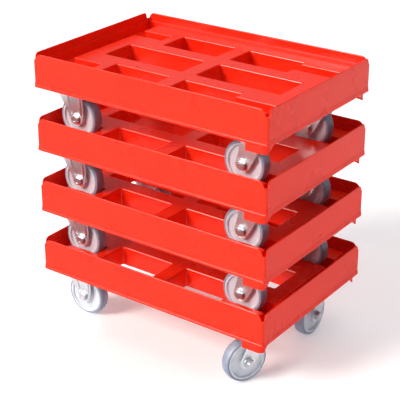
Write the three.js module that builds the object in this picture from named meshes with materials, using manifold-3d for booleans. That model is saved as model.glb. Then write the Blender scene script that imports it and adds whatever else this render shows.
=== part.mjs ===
// A nested stack of four moulded plastic transport dollies for 600 x 400 mm boxes.
// Each dolly has two fixed casters at its left end and two swivel casters at its right end,
// and its wheels stand in the wheel wells of the dolly below.
// Units are millimetres, +Z is up, +X runs along the long side towards the swivel casters,
// and the origin is on the floor under the middle of the stack.

import * as THREE from 'three';
import { mergeVertices } from 'three/addons/utils/BufferGeometryUtils.js';
import Module from 'manifold-3d';

const wasm = await Module();
wasm.setup();

// Driving dimensions ------------------------------------------------------------------

const dollyCount = 4;

// Deck: outer size and walls
const deckLength = 600;
const deckWidth = 400;
const wallHeight = 76; // lower edge to rim
const wallThickness = 3;
const cornerRadius = 5; // vertical outer edges
const bandHeight = 11; // proud band along the wall's lower edge
const bandProud = 1;
const flangeHeight = 19; // thin top of the wall, above the inner ledge
const ledgeWidth = 3; // how far the wall steps inwards under the flange

// Deck: load surface, end gutters and underside
const loadDepth = 28; // rim down to the load surface
const plateThickness = 4;
const skirtThickness = 3; // moulded walls under the load surface
const pocketDepth = 45;
const gutterWidth = 28; // open channel inside each end wall
const gutterDepth = 14;

// Deck: the six through pockets
const centreRail = 38; // cross rail between the left and the right pockets
const middlePocketWidth = 87;
const middlePocketEnd = 73; // outer end of a middle pocket to the deck's end
const outerPocketWidth = 79;
const outerPocketSide = 39; // outer pocket to the deck's long side
const endRail = 25; // cross rail between an outer pocket and a fixed wheel's well

// Deck: corner notches in the rim
const notchDepth = 14.5;
const notchReach = 8; // flat bottom of the notch, measured from the corner
const longWallRounding = 14;
const endWallRounding = 9;

// Deck: corner skirts below the swivel end
const skirtDrop = 19; // below the wall's lower edge
const skirtLong = 56; // along the long side
const skirtShort = 36; // along the end, at the top
const skirtSlant = 26; // how much shorter the end leg is at its foot
const skirtInset = 6; // outer face to the deck's outer face
const skirtWall = 5;

// Wheel wells
const wellDepth = 26.3; // load surface down to the lowest point
const wellWidth = 40;
const wellClearance = 0.6; // radial, around a wheel that stands in the well
const seatGap = 0.3; // between a wheel and the floor of the well

// Casters: where they stand
const fixedInset = 68; // wheel axis to the deck's left end
const swivelInset = 65; // swivel axis to the deck's right end
const casterSide = 75; // caster's centre plane to the deck's long side
const padRecess = 3; // wall's lower edge to the casters' mounting face
const mountGap = 0.3;

// Casters: wheel and axle
const wheelDiameter = 100;
const wheelWidth = 25;
const treadWidth = 12;
const treadDrop = 3; // crown of the tyre, middle to shoulder
const discDiameter = 78; // recessed face inside the disc's raised rim
const discDish = 3; // how deep that face lies below the rim
const discDraft = 2; // slope between the rim and the recessed face
const hubDiameter = 30;
const hubWidth = 30;
const axleDiameter = 12;
const boreClearance = 0.05; // radial, axle to the flats of the wheel's bore
const holeClearance = 0.3; // radial, axle in the legs
const boltHeadFlats = 17;
const boltHeadHeight = 6;
const headGap = 0.3;

// Casters: bracket and fork
const crownRoom = 28; // top of the wheel to the mounting face
const legSideGap = 1.2; // hub to leg
const legThickness = 3;
const legEndRadius = 17;
const splayStart = 14; // height above the axle where the legs begin to lean outwards
const fixedLegTop = 80; // width of a fixed bracket's leg under its plate
const fixedPlateShift = 8; // the plate's centre stands this far outwards of the axle
const fixedSplay = 15; // how far a leg leans out between the axle and the plate
const fixedPlateThickness = 3;
const plateLength = 100;
const plateWidth = 85;
const plateCorner = 6;
const boltSpacingLong = 80;
const boltSpacingWide = 60;
const fixedBoltSpacingWide = 44; // keeps the screws clear of the leaning legs
const boltHoleDiameter = 9;
const swivelPlateThickness = 3.5;
const raceDiameter = 56;
const raceHeight = 8;
const raceGap = 0.3;
const crownDiameter = 74;
const crownThickness = 4;
const trail = 30; // swivel axis to wheel axle
const forkLegTop = 52;
const forkSplay = 9;

// Facets. An extruded shape draws each of its arcs in twice the given number of steps.
const cornerSteps = 1;
const legSteps = 3;
const wellSteps = 4;
const shoulderSteps = 3;
const wheelSteps = 20;
const crownSteps = 16;
const axleSteps = 10;
const boltHoleSteps = 6;

// Resting directions of the swivel wheels, in degrees from +X: those of the lowest dolly
// stand as they last rolled, and the others lie along the wells that hold them.
const looseTrail = { front: -115, back: -90 };
const nestedTrail = { front: 180, back: 180 };

// Derived places ----------------------------------------------------------------------

const wheelRadius = wheelDiameter / 2;
const mountZ = wheelDiameter + crownRoom;
const edgeZ = mountZ - padRecess;
const rimZ = edgeZ + wallHeight;
const deckZ = rimZ - loadDepth;
const plateUnderZ = deckZ - plateThickness;
const ledgeZ = rimZ - flangeHeight;
const wellFloorZ = deckZ - wellDepth;
const stackPitch = wellFloorZ + seatGap;
const nestedAxleZ = stackPitch + wheelRadius;

const halfLength = deckLength / 2;
const halfWidth = deckWidth / 2;
const fixedX = -halfLength + fixedInset;
const swivelX = halfLength - swivelInset;
const casterY = halfWidth - casterSide;
const trayEnd = halfLength - bandProud - wallThickness - ledgeWidth;

const wellRadius = wheelRadius + wellClearance;
const wellHalfChord = Math.sqrt(wellRadius ** 2 - (nestedAxleZ - deckZ) ** 2);
const middlePocketReach = halfLength - middlePocketEnd;
const outerPocketReach = -fixedX - wellHalfChord - endRail;
const outerPocketY = halfWidth - outerPocketSide - outerPocketWidth / 2;

const legInner = hubWidth / 2 + legSideGap;
const legOuter = legInner + legThickness;
const forkCrownZ = mountZ - swivelPlateThickness - raceGap - raceHeight;

// Solids ------------------------------------------------------------------------------

const overlap = 1; // how far a cutter or a joined block runs past a face

function solidOf(geometry) {
  geometry.deleteAttribute('normal');
  geometry.deleteAttribute('uv');
  const merged = mergeVertices(geometry);
  return new wasm.Manifold(new wasm.Mesh({
    numProp: 3,
    vertProperties: merged.getAttribute('position').array,
    triVerts: Uint32Array.from(merged.index.array),
  }));
}

function geometryOf(solid) {
  const mesh = solid.getMesh();
  const geometry = new THREE.BufferGeometry();
  geometry.setAttribute('position', new THREE.BufferAttribute(mesh.vertProperties, 3));
  geometry.setIndex(new THREE.BufferAttribute(mesh.triVerts, 1));
  geometry.computeVertexNormals();
  return geometry;
}

function join(solids) {
  return solids.reduce((sum, solid) => sum.add(solid));
}

function cut(solid, cutters) {
  return cutters.reduce((rest, cutter) => rest.subtract(cutter), solid);
}

function block([x0, x1], [y0, y1], [z0, z1]) {
  const geometry = new THREE.BoxGeometry(x1 - x0, y1 - y0, z1 - z0);
  geometry.translate((x0 + x1) / 2, (y0 + y1) / 2, (z0 + z1) / 2);
  return solidOf(geometry);
}

function extrude(shape, depth, curveSegments = cornerSteps) {
  return new THREE.ExtrudeGeometry(shape, { depth, bevelEnabled: false, curveSegments });
}

function alongZ(shape, [z0, z1]) {
  return solidOf(extrude(shape, z1 - z0).translate(0, 0, z0));
}

// A shape drawn in X and Z, extruded along Y
function alongY(shape, [y0, y1], steps) {
  return solidOf(extrude(shape, y1 - y0, steps).rotateX(Math.PI / 2).translate(0, y1, 0));
}

// A shape drawn in Y and Z, extruded along X
function alongX(shape, [x0, x1]) {
  const axes = new THREE.Matrix4().makeBasis(
    new THREE.Vector3(0, 1, 0), new THREE.Vector3(0, 0, 1), new THREE.Vector3(1, 0, 0));
  return solidOf(extrude(shape, x1 - x0).applyMatrix4(axes).translate(x0, 0, 0));
}

function uprightCylinder(radius, [z0, z1], steps) {
  const geometry = new THREE.CylinderGeometry(radius, radius, z1 - z0, steps);
  return solidOf(geometry.rotateX(Math.PI / 2).translate(0, 0, (z0 + z1) / 2));
}

function crossCylinder(radius, [y0, y1], steps) {
  const geometry = new THREE.CylinderGeometry(radius, radius, y1 - y0, steps);
  return solidOf(geometry.translate(0, (y0 + y1) / 2, 0));
}

function roundedRectangle(length, width, radius) {
  const x = length / 2 - radius;
  const y = width / 2 - radius;
  const shape = new THREE.Shape();
  shape.absarc(x, y, radius, 0, Math.PI / 2);
  shape.absarc(-x, y, radius, Math.PI / 2, Math.PI);
  shape.absarc(-x, -y, radius, Math.PI, 1.5 * Math.PI);
  shape.absarc(x, -y, radius, 1.5 * Math.PI, 2 * Math.PI);
  return shape;
}

function polygon(points) {
  return new THREE.Shape(points.map(([x, y]) => new THREE.Vector2(x, y)));
}

// Deck --------------------------------------------------------------------------------

// A slab over the deck's plan, set in from its outer faces
function deckSlab(inset, heights) {
  const radius = Math.max(cornerRadius - inset, 0.5);
  return alongZ(roundedRectangle(deckLength - 2 * inset, deckWidth - 2 * inset, radius), heights);
}

function deckShell() {
  const outside = deckSlab(0, [edgeZ, edgeZ + bandHeight])
    .add(deckSlab(bandProud, [edgeZ + bandHeight - overlap, rimZ]));
  const wallInset = bandProud + wallThickness;
  return cut(outside, [
    deckSlab(wallInset, [ledgeZ, rimZ + overlap]),
    deckSlab(wallInset + ledgeWidth, [deckZ, rimZ]),
    deckSlab(wallInset, [edgeZ - overlap, plateUnderZ]),
  ]);
}

// The plan of each pocket as [[x0, x1], [y0, y1]]
function pocketPlans() {
  const plans = [];
  for (const side of [-1, 1]) {
    const span = (reach) => [side * centreRail / 2, side * reach].sort((a, b) => a - b);
    const row = (y, width) => [y - width / 2, y + width / 2];
    plans.push([span(middlePocketReach), row(0, middlePocketWidth)]);
    for (const y of [-outerPocketY, outerPocketY]) {
      plans.push([span(outerPocketReach), row(y, outerPocketWidth)]);
    }
  }
  return plans;
}

function grown([low, high], margin) {
  return [low - margin, high + margin];
}

// The side view of a fixed wheel's well: an arc around the wheel that stands in it
function fixedWellShape(growth, topZ) {
  const radius = wellRadius + growth;
  const lean = Math.asin((nestedAxleZ - topZ) / radius);
  const shape = new THREE.Shape();
  shape.absarc(fixedX, nestedAxleZ, radius, Math.PI + lean, 2 * Math.PI - lean);
  return shape;
}

// The side view of a swivel wheel's well: a level floor from the outer pocket to below the
// swivel axis, then an arc that rises to the load surface
function swivelWellShape(growth, topZ, innerX) {
  const floorZ = wellFloorZ - growth;
  const radius = nestedAxleZ - floorZ;
  const lean = Math.asin((nestedAxleZ - topZ) / radius);
  const shape = polygon([[innerX, topZ], [innerX, floorZ]]);
  shape.absarc(swivelX, nestedAxleZ, radius, 1.5 * Math.PI, 2 * Math.PI - lean);
  return shape;
}

// The frame of moulded ribs that a caster's plate is screwed to
function casterPad(x, y) {
  const heights = [mountZ + mountGap, plateUnderZ + overlap];
  const ring = (margin) => [
    grown([x - plateLength / 2, x + plateLength / 2], margin),
    grown([y - plateWidth / 2, y + plateWidth / 2], margin),
  ];
  const frame = block(...ring(0), heights)
    .subtract(block(...ring(-skirtThickness), grown(heights, overlap)));
  const boss = boltHoleDiameter;
  const ribs = [-1, 1].map((side) => {
    const ribX = x + side * boltSpacingLong / 2;
    return block([ribX - boss / 2, ribX + boss / 2], ring(-overlap)[1], heights);
  });
  return join([frame, ...ribs]);
}

// The skirt that hangs below a corner of the swivel end, for the side with the given sign
function cornerSkirt(side) {
  const outerX = halfLength - skirtInset;
  const outerY = halfWidth - skirtInset;
  const footZ = edgeZ - skirtDrop;
  const rootZ = edgeZ + bandHeight;
  const innerX = outerX - skirtWall;
  const spanY = (from, to) => [side * from, side * to].sort((a, b) => a - b);
  const longLeg = block([halfLength - skirtLong, outerX], spanY(outerY - skirtWall, outerY),
    [footZ, rootZ]);
  const shortLeg = alongX(polygon([
    [side * outerY, footZ],
    [side * outerY, rootZ],
    [side * (halfWidth - skirtShort), rootZ],
    [side * (halfWidth - skirtShort), edgeZ],
    [side * (halfWidth - skirtShort + skirtSlant), footZ],
  ]), [innerX, outerX]);
  const tieInset = bandProud + wallThickness - overlap;
  const longTie = block([halfLength - skirtLong, outerX],
    spanY(outerY - overlap, halfWidth - tieInset), [edgeZ, rootZ]);
  const shortTie = block([outerX - overlap, halfLength - tieInset],
    spanY(halfWidth - skirtShort, halfWidth - tieInset), [edgeZ, rootZ]);
  return join([longLeg, shortLeg, longTie, shortTie]);
}

// The openings at one corner of the rim: each wall's top runs out in a rounded shoulder
function cornerNotch(sideX, sideY) {
  const bottomZ = rimZ - notchDepth;
  const shoulder = (half, side, rounding) => {
    const edge = half - notchReach;
    const points = [[side * (half + overlap), bottomZ]];
    for (let step = 0; step <= shoulderSteps; step += 1) {
      const angle = (step / shoulderSteps) * Math.PI / 2;
      const x = edge - rounding * (1 - Math.cos(angle));
      const z = rimZ - rounding * (1 - Math.sin(angle));
      points.push([side * x, z]);
    }
    points.push([side * (edge - rounding), rimZ + overlap], [side * (half + overlap), rimZ + overlap]);
    return polygon(points);
  };
  const through = (half, side) => {
    const inner = half - bandProud - wallThickness - ledgeWidth - overlap;
    return [side * inner, side * (half + overlap)].sort((a, b) => a - b);
  };
  return join([
    alongY(shoulder(halfLength, sideX, longWallRounding), through(halfWidth, sideY)),
    alongX(shoulder(halfWidth, sideY, endWallRounding), through(halfLength, sideX)),
  ]);
}

function deckSolid() {
  const skirtZ = [deckZ - pocketDepth, plateUnderZ + overlap];
  const plans = pocketPlans();
  const added = plans.map(([xs, ys]) => block(
    grown(xs, skirtThickness), grown(ys, skirtThickness), skirtZ));
  const cutters = plans.map(([xs, ys]) => block(xs, ys, [edgeZ - overlap, rimZ]));

  const rib = [-skirtThickness / 2, skirtThickness / 2];
  const wallInner = halfWidth - bandProud - wallThickness + overlap;
  added.push(block(rib, [-wallInner, wallInner], skirtZ));

  const platformEnd = trayEnd - gutterWidth;
  const gutterFloorZ = deckZ - gutterDepth;
  for (const side of [-1, 1]) {
    const span = (from, to) => [side * from, side * to].sort((a, b) => a - b);
    added.push(block(span(platformEnd - skirtThickness, trayEnd + ledgeWidth + overlap),
      [-wallInner, wallInner], [gutterFloorZ - plateThickness, plateUnderZ + overlap]));
    const gutterSide = halfWidth - bandProud - wallThickness - ledgeWidth;
    cutters.push(block(span(platformEnd, trayEnd), [-gutterSide, gutterSide],
      [gutterFloorZ, deckZ + overlap]));

    const y = side * casterY;
    const well = [y - wellWidth / 2, y + wellWidth / 2];
    const shellTopZ = plateUnderZ + overlap;
    added.push(
      alongY(fixedWellShape(skirtThickness, shellTopZ), grown(well, skirtThickness), wellSteps),
      alongY(swivelWellShape(skirtThickness, shellTopZ, outerPocketReach),
        grown(well, skirtThickness), wellSteps),
      casterPad(fixedX - fixedPlateShift, y),
      casterPad(swivelX, y),
      cornerSkirt(side),
    );
    cutters.push(
      alongY(fixedWellShape(0, deckZ + overlap), well, wellSteps),
      alongY(swivelWellShape(0, deckZ + overlap, outerPocketReach - skirtThickness - overlap),
        well, wellSteps),
      cornerNotch(-1, side),
      cornerNotch(1, side),
    );
  }
  return cut(join([deckShell(), ...added]), cutters);
}

// Casters -----------------------------------------------------------------------------

// A closed ring profile turned about the axle, which lies along Y
function wheelSolid() {
  const half = wheelWidth / 2;
  const rimInner = discDiameter / 2;
  const boreRadius = (axleDiameter / 2 + boreClearance) / Math.cos(Math.PI / wheelSteps);
  const side = [
    [boreRadius, hubWidth / 2],
    [hubDiameter / 2, hubWidth / 2],
    [rimInner - discDraft, half - discDish],
    [rimInner, half],
    [wheelRadius - treadDrop, half],
    [wheelRadius, treadWidth / 2],
  ];
  const profile = [
    ...side.map(([radius, y]) => [radius, -y]),
    ...side.toReversed(),
    [side[0][0], -side[0][1]],
  ];
  const points = profile.map(([radius, y]) => new THREE.Vector2(radius, y));
  return solidOf(new THREE.LatheGeometry(points, wheelSteps));
}

// A hexagon bolt along Y with its nut, one on the outside of each leg
function axleSolid() {
  const headStart = legOuter + headGap;
  const headEnd = headStart + boltHeadHeight;
  const corner = boltHeadFlats / Math.sqrt(3);
  return join([
    crossCylinder(axleDiameter / 2, [-headStart - overlap, headStart + overlap], axleSteps),
    crossCylinder(corner, [headStart, headEnd], 6),
    crossCylinder(corner, [-headEnd, -headStart], 6),
  ]);
}

// Where a line from the given point touches a circle, as an angle at the circle's centre
function tangentAngle(point, centre, radius, side) {
  const toPoint = new THREE.Vector2().subVectors(point, centre);
  return toPoint.angle() + side * Math.acos(radius / toPoint.length());
}

// A leg that tapers from a straight top edge to a round end about the axle
function legShape([left, right], topZ, axleX) {
  const axle = new THREE.Vector2(axleX, wheelRadius);
  const leftTop = new THREE.Vector2(left, topZ);
  const rightTop = new THREE.Vector2(right, topZ);
  const start = tangentAngle(leftTop, axle, legEndRadius, 1);
  const end = tangentAngle(rightTop, axle, legEndRadius, -1) + 2 * Math.PI;
  const shape = new THREE.Shape([rightTop, leftTop]);
  shape.absarc(axle.x, axle.y, legEndRadius, start, end);
  return shape;
}

// Two legs that stand upright beside the hub and lean outwards from there to their top
function legPair(span, topZ, axleX, splay) {
  const outline = alongY(legShape(span, topZ, axleX),
    [-legOuter - splay - overlap, legOuter + splay + overlap], legSteps);
  const bendZ = wheelRadius + splayStart;
  const sheet = (side) => alongX(polygon([
    [side * legInner, 0],
    [side * legOuter, 0],
    [side * legOuter, bendZ],
    [side * (legOuter + splay), topZ + overlap],
    [side * (legInner + splay), topZ + overlap],
    [side * legInner, bendZ],
  ]), grown(span, legEndRadius + Math.abs(axleX)));
  const hole = crossCylinder(axleDiameter / 2 + holeClearance,
    [-legOuter - overlap, legOuter + overlap], axleSteps).translate([axleX, 0, wheelRadius]);
  return sheet(-1).add(sheet(1)).intersect(outline).subtract(hole);
}

// A caster's top plate with its four mounting holes, its centre over the origin
function mountingPlate(thickness, spacingWide) {
  const heights = [mountZ - thickness, mountZ];
  const plate = alongZ(roundedRectangle(plateLength, plateWidth, plateCorner), heights);
  const holes = [-1, 1].flatMap((sideX) => [-1, 1].map((sideY) => (
    uprightCylinder(boltHoleDiameter / 2, grown(heights, overlap), boltHoleSteps)
      .translate([sideX * boltSpacingLong / 2, sideY * spacingWide / 2, 0])
  )));
  return cut(plate, holes);
}

// The bracket of a fixed wheel whose axle stands over the origin
function fixedBracketSolid() {
  const legTop = [-fixedPlateShift - fixedLegTop / 2, -fixedPlateShift + fixedLegTop / 2];
  const underside = mountZ - fixedPlateThickness;
  return mountingPlate(fixedPlateThickness, fixedBoltSpacingWide)
    .translate([-fixedPlateShift, 0, 0])
    .add(legPair(legTop, underside + overlap, 0, fixedSplay));
}

// The fork turns about Z, and its wheel trails along the fork's own +X
function forkSolid() {
  const crown = uprightCylinder(crownDiameter / 2, [forkCrownZ - crownThickness, forkCrownZ],
    crownSteps);
  const race = uprightCylinder(raceDiameter / 2, [forkCrownZ - overlap, forkCrownZ + raceHeight],
    crownSteps);
  const legTop = [-forkLegTop / 2, forkLegTop / 2];
  return join([crown, race, legPair(legTop, forkCrownZ - overlap, trail, forkSplay)]);
}

// Assembly ----------------------------------------------------------------------------

const finishes = {
  redPlastic: { color: 0xff3a24, roughness: 0.42, metalness: 0 },
  zincSteel: { color: 0xc9ccd0, roughness: 0.32, metalness: 1 },
  greyRubber: { color: 0x8f97a6, roughness: 0.7, metalness: 0 },
};

const geometries = {
  deck: geometryOf(deckSolid()),
  bracket: geometryOf(fixedBracketSolid()),
  plate: geometryOf(mountingPlate(swivelPlateThickness, boltSpacingWide)),
  fork: geometryOf(forkSolid()),
  wheel: geometryOf(wheelSolid()),
  axle: geometryOf(axleSolid()),
};

function piece(name, kind, finish, position = [0, 0, 0]) {
  const mesh = new THREE.Mesh(geometries[kind], new THREE.MeshStandardMaterial(finishes[finish]));
  mesh.name = name;
  mesh.position.set(...position);
  return mesh;
}

function fixedCaster(name, y) {
  const caster = new THREE.Group();
  caster.position.set(fixedX, y, 0);
  caster.add(
    piece(`${name}_bracket`, 'bracket', 'zincSteel'),
    piece(`${name}_wheel`, 'wheel', 'greyRubber', [0, 0, wheelRadius]),
    piece(`${name}_axle`, 'axle', 'zincSteel', [0, 0, wheelRadius]),
  );
  return caster;
}

function swivelCaster(name, y, trailDegrees) {
  const caster = new THREE.Group();
  caster.position.set(swivelX, y, 0);
  const turning = new THREE.Group();
  turning.rotation.z = THREE.MathUtils.degToRad(trailDegrees);
  turning.add(
    piece(`${name}_fork`, 'fork', 'zincSteel'),
    piece(`${name}_wheel`, 'wheel', 'greyRubber', [trail, 0, wheelRadius]),
    piece(`${name}_axle`, 'axle', 'zincSteel', [trail, 0, wheelRadius]),
  );
  caster.add(piece(`${name}_plate`, 'plate', 'zincSteel'), turning);
  return caster;
}

function dolly(number) {
  const name = `dolly_${number}`;
  const trails = number === 1 ? looseTrail : nestedTrail;
  const group = new THREE.Group();
  group.position.z = (number - 1) * stackPitch;
  group.add(piece(`${name}_deck`, 'deck', 'redPlastic'));
  for (const [side, y] of [['front', -casterY], ['back', casterY]]) {
    group.add(fixedCaster(`${name}_fixed_${side}`, y));
    group.add(swivelCaster(`${name}_swivel_${side}`, y, trails[side]));
  }
  return group;
}

const stack = new THREE.Group();
for (let number = 1; number <= dollyCount; number += 1) {
  stack.add(dolly(number));
}

export default stack;
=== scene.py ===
"""Looks of a nested stack of four moulded plastic transport dollies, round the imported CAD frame.

The decks are shaped in one place and copied up the stack. Wheels, brackets, forks and bolts are
shaped over the origin and copied to every caster, whose place and direction the frame gives.
"""

import logging
import math
from collections.abc import Callable, Iterator, Sequence
from contextlib import contextmanager
from dataclasses import dataclass, field
from enum import Enum

import bmesh
import bpy
from bpy.types import Material, Node, NodeSocket, NodeTree, Object
from mathutils import Matrix, Vector


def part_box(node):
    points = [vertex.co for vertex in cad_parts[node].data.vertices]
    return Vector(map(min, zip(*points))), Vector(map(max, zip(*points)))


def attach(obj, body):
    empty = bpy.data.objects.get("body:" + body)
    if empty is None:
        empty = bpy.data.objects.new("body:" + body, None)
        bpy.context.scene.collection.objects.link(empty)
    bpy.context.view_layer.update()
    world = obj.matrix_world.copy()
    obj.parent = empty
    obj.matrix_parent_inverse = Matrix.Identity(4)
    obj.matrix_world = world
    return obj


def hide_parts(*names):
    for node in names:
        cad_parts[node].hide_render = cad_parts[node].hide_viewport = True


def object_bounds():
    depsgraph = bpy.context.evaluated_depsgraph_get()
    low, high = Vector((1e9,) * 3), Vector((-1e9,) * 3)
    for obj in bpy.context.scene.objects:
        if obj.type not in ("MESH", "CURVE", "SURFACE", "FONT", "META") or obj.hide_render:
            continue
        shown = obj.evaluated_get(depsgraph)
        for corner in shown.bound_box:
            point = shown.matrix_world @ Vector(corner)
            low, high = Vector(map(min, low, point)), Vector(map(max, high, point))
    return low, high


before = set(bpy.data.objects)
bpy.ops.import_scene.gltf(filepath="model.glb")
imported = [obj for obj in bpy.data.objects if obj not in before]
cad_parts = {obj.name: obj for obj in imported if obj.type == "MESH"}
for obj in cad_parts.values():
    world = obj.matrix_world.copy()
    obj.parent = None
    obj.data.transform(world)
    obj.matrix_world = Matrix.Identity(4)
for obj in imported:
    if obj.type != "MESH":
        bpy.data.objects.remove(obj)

CAD_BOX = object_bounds()
MM = 0.001
OVERLAP = 1.0 * MM  # how far bodies that are joined or cut reach into each other
TOUCH = 0.001 * MM  # places closer than this are one place

Span = tuple[float, float]
Element = bmesh.types.BMVert | bmesh.types.BMEdge | bmesh.types.BMFace
Test = Callable[[Element], bool]
log = logging.getLogger("dollies")


class Cut(Enum):
    """What a boolean tool does to the piece it is applied to."""

    JOIN = "UNION"
    REMOVE = "DIFFERENCE"


class Edges(Enum):
    """Which edges of a block are rounded."""

    UPRIGHT = "upright"
    TOP = "top"
    ALL = "all"


# Modelling helpers ---------------------------------------------------------------------


def deselect_all() -> None:
    """Clears the object selection, CAD nodes included."""
    bpy.ops.object.select_all(action="DESELECT")


def make_active(piece: Object) -> None:
    """Makes one piece the only selected object and the active one."""
    deselect_all()
    piece.select_set(True)
    bpy.context.view_layer.objects.active = piece


@contextmanager
def editing(piece: Object) -> Iterator[None]:
    """Opens a piece in edit mode with everything selected, and closes it again.

    Args:
        piece: The mesh object to edit.
    """
    make_active(piece)
    bpy.ops.object.mode_set(mode="EDIT")
    bpy.ops.mesh.select_mode(type="VERT")
    bpy.ops.mesh.select_all(action="SELECT")
    yield
    bpy.ops.object.mode_set(mode="OBJECT")


def pick(piece: Object, kind: str, test: Test) -> None:
    """Selects the vertices, edges or faces of a piece in edit mode that pass a test.

    Args:
        piece: The mesh object, in edit mode.
        kind: "VERT", "EDGE" or "FACE".
        test: Says whether an element is selected.
    """
    bpy.ops.mesh.select_mode(type=kind)
    bpy.ops.mesh.select_all(action="DESELECT")
    mesh = bmesh.from_edit_mesh(piece.data)
    elements = {"VERT": mesh.verts, "EDGE": mesh.edges, "FACE": mesh.faces}[kind]
    for element in elements:
        if test(element):
            element.select_set(True)
    mesh.select_flush_mode()
    bmesh.update_edit_mesh(piece.data)


def sharper(degrees: float) -> Test:
    """Makes the test for edges whose two faces meet at more than an angle."""
    return lambda edge: edge.calc_face_angle(0) > math.radians(degrees)


def lying_at(place: float, axis: int = 2) -> Test:
    """Makes the test for edges that lie wholly at one place along an axis, Z unless stated."""
    return lambda edge: all(abs(point.co[axis] - place) < TOUCH for point in edge.verts)


def block(name: str, x: Span, y: Span, z: Span) -> Object:
    """Adds a box between two corners.

    Args:
        name: Name of the new object.
        x: Lowest and highest X.
        y: Lowest and highest Y.
        z: Lowest and highest Z.

    Returns:
        The box, with its size and place in its mesh.
    """
    deselect_all()
    spans = (sorted(x), sorted(y), sorted(z))
    centre = [(low + high) / 2 for low, high in spans]
    bpy.ops.mesh.primitive_cube_add(size=1, location=centre)
    piece = bpy.context.object
    piece.scale = [high - low for low, high in spans]
    bpy.ops.object.transform_apply(location=True, rotation=True, scale=True)
    piece.name = name
    return piece


def rod(name: str, radius: float, start: Vector, end: Vector, steps: int = 32) -> Object:
    """Adds a cylinder between two points.

    Args:
        name: Name of the new object.
        radius: Radius of the cylinder.
        start: Centre of one end.
        end: Centre of the other end.
        steps: Number of sides.

    Returns:
        The cylinder, with its place in its mesh.
    """
    deselect_all()
    axis = end - start
    bpy.ops.mesh.primitive_cylinder_add(
        vertices=steps, radius=radius, depth=axis.length, location=(start + end) / 2,
        rotation=axis.to_track_quat("Z", "Y").to_euler())
    bpy.ops.object.transform_apply(location=True, rotation=True, scale=True)
    bpy.context.object.name = name
    return bpy.context.object


def bevel_edges(piece: Object, width: float, segments: int, which: Edges | Test) -> Object:
    """Rounds chosen edges of a piece.

    Args:
        piece: The mesh object.
        width: Radius of the rounding.
        segments: Number of faces across it.
        which: A named set of edges, or a test on an edge.

    Returns:
        The same piece.
    """
    top = max(vertex.co.z for vertex in piece.data.vertices)
    tests = {
        Edges.UPRIGHT: lambda edge: abs(edge.verts[0].co.z - edge.verts[1].co.z) > OVERLAP,
        Edges.TOP: lying_at(top),
        Edges.ALL: sharper(30),
    }
    with editing(piece):
        pick(piece, "EDGE", tests[which] if isinstance(which, Edges) else which)
        bpy.ops.mesh.bevel(offset=width, segments=segments, affect="EDGES")
    return piece


def turned(name: str, profile: Sequence[Span], steps: int = 64) -> Object:
    """Turns a closed profile about the Y axis.

    Args:
        name: Name of the new object.
        profile: Corners of the profile as (radius, y), going round it once.
        steps: Number of facets round the axis.

    Returns:
        The turned body, closed and with its faces outwards.
    """
    deselect_all()
    bpy.ops.mesh.primitive_plane_add(size=MM)
    piece = bpy.context.object
    piece.name = name
    points = [Vector((radius, y, 0)) for radius, y in profile]
    with editing(piece):
        bpy.ops.mesh.merge(type="CENTER")
        bpy.ops.transform.translate(value=points[0])
        for here, there in zip(points, [*points[1:], points[0]]):
            bpy.ops.mesh.extrude_region_move(TRANSFORM_OT_translate={"value": there - here})
        bpy.ops.mesh.select_all(action="SELECT")
        bpy.ops.mesh.remove_doubles(threshold=0.01 * MM)
        bpy.ops.mesh.select_all(action="SELECT")
        bpy.ops.mesh.spin(steps=steps, angle=2 * math.pi, center=(0, 0, 0), axis=(0, 1, 0))
        bpy.ops.mesh.select_all(action="SELECT")
        bpy.ops.mesh.remove_doubles(threshold=0.01 * MM)
        bpy.ops.mesh.normals_make_consistent(inside=False)
    return piece


def hull(piece: Object) -> Object:
    """Wraps the corners of a piece in their convex hull, with flat faces left whole."""
    with editing(piece):
        bpy.ops.mesh.convex_hull()
        bpy.ops.mesh.select_all(action="SELECT")
        bpy.ops.mesh.dissolve_limited(angle_limit=math.radians(0.5))
    return piece


def combine(piece: Object, tools: Sequence[Object], cut: Cut) -> Object:
    """Joins tools to a piece or removes them from it, and deletes the tools.

    Args:
        piece: The piece that is kept.
        tools: Closed bodies.
        cut: Whether they are joined or removed.

    Returns:
        The same piece.
    """
    for tool in tools:
        make_active(piece)
        bpy.ops.object.modifier_add(type="BOOLEAN")
        modifier = piece.modifiers[-1]
        modifier.operation = cut.value
        modifier.solver = "MANIFOLD"
        modifier.object = tool
        bpy.ops.object.modifier_apply(modifier=modifier.name)
        bpy.data.objects.remove(tool)
    return piece


def placed_copy(piece: Object, name: str, place: Matrix) -> Object:
    """Copies a piece with its own mesh, moved to its place inside that mesh.

    Args:
        piece: The piece to copy.
        name: Name of the copy.
        place: Where the copy stands.

    Returns:
        The copy, whose object stays at the origin.
    """
    copy = piece.copy()
    copy.data = piece.data.copy()
    copy.name = name
    copy.data.name = name
    copy.data.transform(place)
    bpy.context.scene.collection.objects.link(copy)
    if place.is_negative:
        with editing(copy):
            bpy.ops.mesh.remove_doubles(threshold=0.001 * MM)
            bpy.ops.mesh.normals_make_consistent(inside=False)
    return copy


def discard(*pieces: Object) -> None:
    """Deletes pieces that were only modelled to be copied."""
    for piece in pieces:
        bpy.data.objects.remove(piece)


def smooth(piece: Object, angle: float = 32, joins_flats: bool = True) -> Object:
    """Shades curved faces smoothly and leaves the flat ones flat.

    Args:
        piece: The mesh object.
        angle: Sharpest angle that is shaded smoothly, in degrees.
        joins_flats: Whether faces that lie in one plane are joined first.

    Returns:
        The same piece.
    """
    with editing(piece):
        bpy.ops.mesh.remove_doubles(threshold=0.002 * MM)
        if joins_flats:
            bpy.ops.mesh.dissolve_limited(angle_limit=math.radians(0.2))
    make_active(piece)
    bpy.ops.object.shade_smooth_by_angle(angle=math.radians(angle))
    bpy.ops.object.modifier_add(type="WEIGHTED_NORMAL")
    piece.modifiers[-1].keep_sharp = True
    bpy.ops.object.modifier_apply(modifier=piece.modifiers[-1].name)
    return piece


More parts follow.
